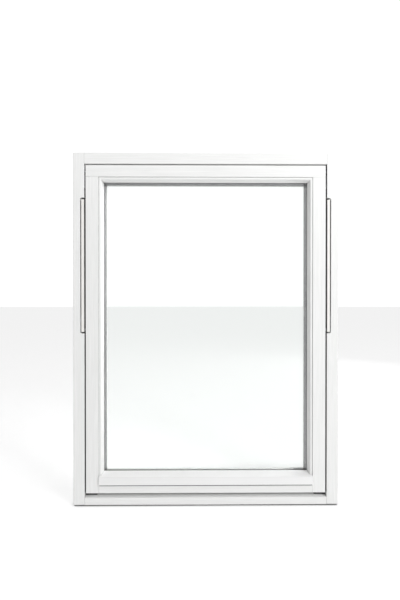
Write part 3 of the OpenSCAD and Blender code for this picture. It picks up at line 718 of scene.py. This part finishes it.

# ---- Drip bead -----------------------------------------------------------
# A white powder-coated aluminium extrusion along the bottom of the glass, with a moulded cap at each
# end. A black rubber lip closes it against the rail below, and also stands in for the shadow line
# under the apron.


def powder_coat():
    """Satin white powder coat: a soft orange-peel texture."""
    material, tree, shader = new_material("powder_coat")
    peel = noise(tree, 700, 2)
    link_looks(tree, shader, tint(tree, noise(tree, 4, 3), (0.83, 0.83, 0.825), (0.86, 0.86, 0.86)),
               remap(tree, peel, 0.28, 0.36), raised(tree, peel, 0.08, 0.0003))
    return material


coat = powder_coat()
apron_top = 96 * MM
wall = 2 * MM
drip_low, drip_high = np.array(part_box("drip_bead"))
rebate_floor = 74 * MM
foot_front = outer_face + 19 * MM
return_back = outer_face + 4.5 * MM
cap_back = outer_face + 1.8 * MM


def drip_profile():
    """The extrusion's section: apron, slope up to the glass, back wall and foot, one wall thick,
    with its outer arrises rounded."""
    y0, z0 = drip_low[1], drip_low[2]
    y1, z1 = drip_high[1], drip_high[2]
    corners = [(y0, z0), (y0 + MM, apron_top), (y1, z1), (y1, rebate_floor),
               (foot_front, rebate_floor), (foot_front, rebate_floor + wall),
               (y1 - wall, rebate_floor + wall), (y1 - wall, z1 - 2.6 * MM),
               (y0 + MM + wall, apron_top - 1.4 * MM), (y0 + wall, z0 + wall),
               (return_back, z0 + wall), (return_back, z0)]
    radius = np.array([0.9, 1.8, 0.5, 0.5, 0.4, 0.4, 0.5, 0.5, 0.6, 0.5, 0.4, 0.4]) * MM
    return rounded(corners, radius, 5)


def along_width(node, section, low_x, high_x, material, stations=50, angle=40, name=None):
    """A (depth, height) section carried straight across the window."""
    spots = np.zeros((stations, 3))
    spots[:, 0] = np.linspace(low_x, high_x, stations)
    assemble(node, [carried(section, spots, (0, 1, 0), (0, 0, 1))], material, angle, name)


along_width("drip_bead", drip_profile(), drip_low[0], drip_high[0], coat)


def end_caps(node):
    """Two moulded caps: the bead's outline, its edge rounded by drawing in the end stations."""
    made = []
    for low, high in solids(node):
        y0, z0, y1, z1 = low[1], low[2], high[1], high[2]
        outline = rounded([(y0, z0), (y0 + MM, apron_top), (y1, z1), (y1, rebate_floor),
                           (cap_back, rebate_floor), (cap_back, z0)],
                          np.array([0.9, 1.8, 0.5, 0.5, 0.4, 0.4]) * MM, 5)
        middle = outline.mean(0)
        share = np.array([0, 0.12, 0.5, 0.88, 1.0])
        shrink = np.array([0.985, 1.0, 1.0, 1.0, 0.985])
        flat = middle + shrink[:, None, None] * (outline - middle)[None]
        x = low[0] + share[:, None, None] * (high[0] - low[0])
        x = np.broadcast_to(x, flat.shape[:2] + (1,))
        made.append(shell(np.concatenate([x, flat], 2)))
    assemble(node, made, coat, 40)


end_caps("drip_bead_caps")
# A black rubber lip under the apron, which also stands in for the shadow line there.
lip_section = rounded([(outer_face - 0.4 * MM, drip_low[2] - 4.0 * MM),
                       (outer_face + 2.3 * MM, drip_low[2] - 4.6 * MM),
                       (outer_face + 2.3 * MM, drip_low[2] + 0.3 * MM),
                       (outer_face - 1.6 * MM, drip_low[2] + 0.3 * MM)], 0.5 * MM)
along_width("drip_bead", lip_section, drip_low[0], drip_high[0], rubber, name="apron_lip_shadow_line")

# ---- Glazing -------------------------------------------------------------
# A sealed unit of three clear float panes on two alloy spacer frames, sealed
# round its edge. It stands on plastic setting blocks between rubber gaskets.


def clear_glass():
    """Clear float glass. Light from the lamps passes straight through, as it does in a thin pane."""
    material, tree, shader = new_material("clear_glass")
    smear = noise(tree, 12, 4)
    tree.links.new(remap(tree, smear, 0.0, 0.012, 0.5, 0.8), shader.inputs["Roughness"])
    shader.inputs["Base Color"].default_value = (0.99, 0.998, 0.994, 1)
    shader.inputs["Transmission Weight"].default_value = 1.0
    shader.inputs["IOR"].default_value = 1.45
    output = tree.nodes["Material Output"]
    ray = tree.nodes.new("ShaderNodeLightPath")
    through = tree.nodes.new("ShaderNodeBsdfTransparent")
    choice = tree.nodes.new("ShaderNodeMixShader")
    tree.links.new(ray.outputs["Is Shadow Ray"], choice.inputs["Fac"])
    tree.links.new(shader.outputs["BSDF"], choice.inputs[1])
    tree.links.new(through.outputs["BSDF"], choice.inputs[2])
    tree.links.new(choice.outputs["Shader"], output.inputs["Surface"])
    return material


def spacer_material():
    """Dull grey spacer alloy with a fine row of vents."""
    material, tree, shader = new_material("spacer_alloy")
    fine = noise(tree, 700, 2)
    link_looks(tree, shader, tint(tree, fine, (0.20, 0.20, 0.205), (0.29, 0.29, 0.295)),
               remap(tree, fine, 0.3, 0.42), raised(tree, fine, 0.1, 0.0002))
    shader.inputs["Metallic"].default_value = 1.0
    return material


glass = clear_glass()
for name in ("outer_pane", "middle_pane", "inner_pane"):
    eased(name, 0.5 * MM, glass, 0.02, 2)


def around_glass(node, section, stations=14, low=None, high=None):
    """A section carried round a rectangle, s outwards and t in depth from its front. At a corner
    the outward direction is the sum of its two sides' directions, which makes the mitre."""
    if low is None:
        low, high = np.array(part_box(node))
    corners = np.array([[low[0], low[2]], [high[0], low[2]], [high[0], high[2]], [low[0], high[2]]])
    outward_side = np.array([[0, -1], [1, 0], [0, 1], [-1, 0]], float)
    t = np.linspace(0, 1, stations, endpoint=False)[None, :, None]
    spots = corners[:, None] + t * (np.roll(corners, -1, 0) - corners)[:, None]
    way = np.repeat(outward_side[:, None], stations, 1)
    way[:, 0] += np.roll(outward_side, 1, 0)
    spots = spots.reshape(-1, 2)
    way = way.reshape(-1, 2)
    front = np.full(len(spots), low[1])
    level = np.zeros(len(spots))
    return carried(section, np.stack([spots[:, 0], front, spots[:, 1]], 1),
                   np.stack([way[:, 0], level, way[:, 1]], 1), (0, 1, 0), True)


gasket_section = rounded([(0, 0), (0, 2), (-8, 2), (-8.0, 0.6), (-7.2, 0)],
                         [0.4, 0.4, 0.5, 0.3, 0.3]) * MM
spacer_section = rounded([(0, 0.8), (0, 11.2), (-1.2, 12), (-6.2, 12), (-6.5, 11.4), (-6.5, 0.6),
                          (-6.2, 0), (-1.2, 0)], 0.25) * MM
sealant_section = rounded([(0, 0), (-0.5, 6), (0, 12), (-3, 12), (-3, 0)],
                          [0.3, 2.0, 0.3, 0.2, 0.2]) * MM
for name in ("glazing_gasket_outer", "glazing_gasket_inner"):
    assemble(name, [around_glass(name, gasket_section)], rubber)
spacer_alloy = spacer_material()
for name in ("spacer_outer", "spacer_inner"):
    assemble(name, [around_glass(name, spacer_section)], spacer_alloy)
assemble("edge_seal", [around_glass("edge_seal", sealant_section, low=low, high=high)
                       for low, high in solids("edge_seal")], rubber)


def ribbed_blocks(node, ribs=8):
    """Packers with ribs across their length: at each station of the long side, the section is a
    rounded rectangle whose height is drawn in where the cosine of the ribs' turns is low."""
    made = []
    for low, high in solids(node):
        size = high - low
        run = 0 if size[0] > size[2] else 2
        thin = 2 - run
        share = np.linspace(0, 1, ribs * 8 + 1)
        draw = 0.12 * (1 - np.cos(2 * np.pi * ribs * share)) * (np.cos(2 * np.pi * ribs * share) < 0)
        corners = np.array([(-0.5, -0.5), (0.5, -0.5), (0.5, 0.5), (-0.5, 0.5)])
        section = rounded(corners * [size[1], size[thin]], 0.5 * MM)
        grid = np.zeros((len(share), len(section), 3))
        grid[:, :, run] = low[run] + share[:, None] * size[run]
        grid[:, :, 1] = (low[1] + high[1]) / 2 + section[None, :, 0]
        grid[:, :, thin] = (low + high)[thin] / 2 + section[None, :, 1] * (1 - draw[:, None])
        made.append(shell(grid))
    assemble(node, made, moulded_plastic("block_plastic", (0.02, 0.05, 0.16), (0.03, 0.07, 0.2)))


ribbed_blocks("setting_blocks")

# ---- Sash fittings -------------------------------------------------------
# Zinc-plated bracket plates with the upper pivots and shoe pins, screwed into
# the stiles' outer edges, and the screws that close the sash's corners.

for name in ("sash_bracket_left", "sash_bracket_right"):
    eased(name, plate_edge, zinc, plate_shortest, 2)


def sash_side(low, high):
    """Heads face outwards, or up where the screw stands in the top rail."""
    upright = high[2] - low[2] > high[0] - low[0]
    return (0, 0, 1) if upright else (np.sign(low[0] + high[0]), 0, 0)


screws("bracket_screws", *fitting_screw, outward)
screws("sash_corner_screws", 4.8, 3.0, 2.4, sash_side)

# ---- Lock ----------------------------------------------------------------
# A steel case and faceplate let into the bottom rail's lower edge. A brass
# pinion drives two racked rods apart, each with a roller cam under its end.

for name in ("lock_case", "lock_faceplate", "lock_rod_left", "lock_rod_right"):
    eased(name, plate_edge, zinc, plate_shortest, 2)


def roller_cam(node):
    """A cam turned about the z axis: a domed foot disc, a crowned roller and a stud up to the rod."""
    low, high = np.array(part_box(node))
    stud_r, roller_r = 2.5 * MM, (high[0] - low[0]) / 2
    rise = np.array([0, 0, 0.15, 0.5, 0.6, 0.9, 2.8, 4.6, 5.0, 5.1, 5.3]) * MM
    radius = np.array([0, 2.9, 3.3, 3.3, 4.0, 4.4, 4.5, 4.4, 4.0, 3.0, 2.5]) * MM
    radius = np.minimum(radius, roller_r)
    top = high[2] - low[2]
    rise = np.append(rise, [top - 0.3 * MM, top, top])
    radius = np.append(radius, [stud_r, stud_r - 0.3 * MM, 0])
    centre = (low + high) / 2 * [1, 1, 0] + [0, 0, low[2]]
    assemble(node, [turned(radius[:, None], rise[:, None], centre, (0, 0, 1), 40)], zinc, 40)


roller_cam("lock_cam_left")
roller_cam("lock_cam_right")

# ---- Handle --------------------------------------------------------------
# A cast lever on an oval rose, both satin finished. Two screws hold the rose to
# the bottom rail, and a square steel spindle turns the lock's brass pinion.


def satin_alloy():
    """Satin cast alloy: fine brushing and slightly polished high spots."""
    material, tree, shader = new_material("satin_alloy")
    brush = noise(tree, 1100, 3, (0.08, 1, 1))
    link_looks(tree, shader, tint(tree, noise(tree, 25, 3), (0.52, 0.53, 0.54), (0.62, 0.63, 0.64)),
               remap(tree, brush, 0.28, 0.42), raised(tree, brush, 0.06, 0.0002))
    shader.inputs["Metallic"].default_value = 1.0
    return material


def gear_brass():
    """Machined brass, a little dulled."""
    material, tree, shader = new_material("gear_brass")
    fine = noise(tree, 900, 3)
    link_looks(tree, shader, tint(tree, fine, (0.50, 0.36, 0.14), (0.66, 0.50, 0.22)),
               remap(tree, fine, 0.25, 0.4), raised(tree, fine, 0.06, 0.0002))
    shader.inputs["Metallic"].default_value = 1.0
    return material


alloy = satin_alloy()
rose_low, rose_high = np.array(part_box("handle_base"))
lever_low, lever_high = np.array(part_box("handle_lever"))
axle = (rose_low + rose_high) / 2
neck_bore = 8.3 * MM
lever_root_r, lever_end_r = 9 * MM, 7 * MM
grip_half = 6 * MM


def rose():
    """An oval rose with a hole for the neck. At angle a its rim is a half circle pushed sideways
    by the straight part; the section climbs the rim, rounds over and crowns in to the hole."""
    half_h = (rose_high[2] - rose_low[2]) / 2
    straight = (rose_high[0] - rose_low[0]) / 2 - half_h
    rise = rose_high[1] - rose_low[1]
    angle = np.linspace(0, 2 * np.pi, 96, endpoint=False)
    way = np.stack([np.cos(angle), np.sin(angle)], 1)
    rim = half_h * way + straight * np.stack([np.sign(np.round(way[:, 0], 9)), 0 * angle], 1)
    share = np.array([0, 1.0, 1.0, 1.0, 0.97, 0.9, 0.75, 0.4, 0.12, 0.04, 0.0, 0.0])
    climb = np.array([0, 0, 0.06, 0.45, 0.70, 0.82, 0.88, 0.89, 0.9, 0.93, 0.9, 0.5])
    hole = neck_bore * way
    flat = hole[None] + share[:, None, None] * (rim - hole)[None]
    deep = np.broadcast_to(climb[:, None, None] * rise, flat.shape[:2] + (1,))
    grid = np.concatenate([flat[:, :, :1], deep, flat[:, :, 1:]], 2)
    return shell(grid + [axle[0], rose_low[1], axle[2]], True)


def lever():
    """A neck turned about the axle that flares into the grip, and the grip: superellipse sections
    carried towards the end, their height and thickness easing down, with both ends drawn in."""
    grip_front = lever_high[1] - 2 * grip_half
    neck_r = np.array([0, 7.7, 8.0, 8.0, 7.6, 7.4, 7.6, 8.3, 8.8, 0])[:, None] * MM
    reach = grip_front + 2 * MM - lever_low[1]
    neck_h = np.array([0, 0, 0.02, 0.2, 0.3, 0.6, 0.8, 0.93, 1, 1])[:, None] * reach
    start = np.array([axle[0], lever_low[1], axle[2]])
    root_r = lever_root_r
    length = root_r - lever_low[0]
    stations, columns = 60, 48
    share = (1 - np.cos(np.linspace(0, np.pi, stations))) / 2
    x = root_r - share * length
    half = root_r + (lever_end_r - root_r) * share
    half *= 1 + 0.06 * np.sin(np.pi * share) ** 2
    close_root = np.sqrt(np.clip(1 - np.clip(1 - (root_r - x) / root_r, 0, 1) ** 2, 0, 1))
    end_x = x - lever_low[0]
    close_end = np.sqrt(np.clip(1 - np.clip(1 - end_x / lever_end_r, 0, 1) ** 2, 0, 1))
    half = np.minimum(half, root_r) * close_root * close_end
    thick = (6 - share) * MM * np.minimum(close_root, close_end) ** 0.4
    angle = np.linspace(0, 2 * np.pi, columns, endpoint=False)
    power = 0.62
    up = np.sign(np.sin(angle)) * abs(np.sin(angle)) ** power
    side = np.sign(np.cos(angle)) * abs(np.cos(angle)) ** power
    grid = np.stack([np.broadcast_to(x[:, None], (stations, columns)),
                     lever_high[1] - grip_half + thick[:, None] * side[None],
                     axle[2] + half[:, None] * up[None]], -1)
    return [turned(neck_r, neck_h, start, (0, 1, 0), columns), shell(grid)]


def room_side(low, high):
    """Heads face the room, whichever screw it is."""
    return (0, 1, 0)


assemble("handle_base", [rose()], alloy, 40)
assemble("handle_lever", lever(), alloy, 40)
eased("handle_spindle", plate_edge, zinc, plate_shortest, 2)
screws("handle_screws", *fitting_screw, room_side)
eased("drive_gear", 0.15 * MM, gear_brass(), 0.003, 2)
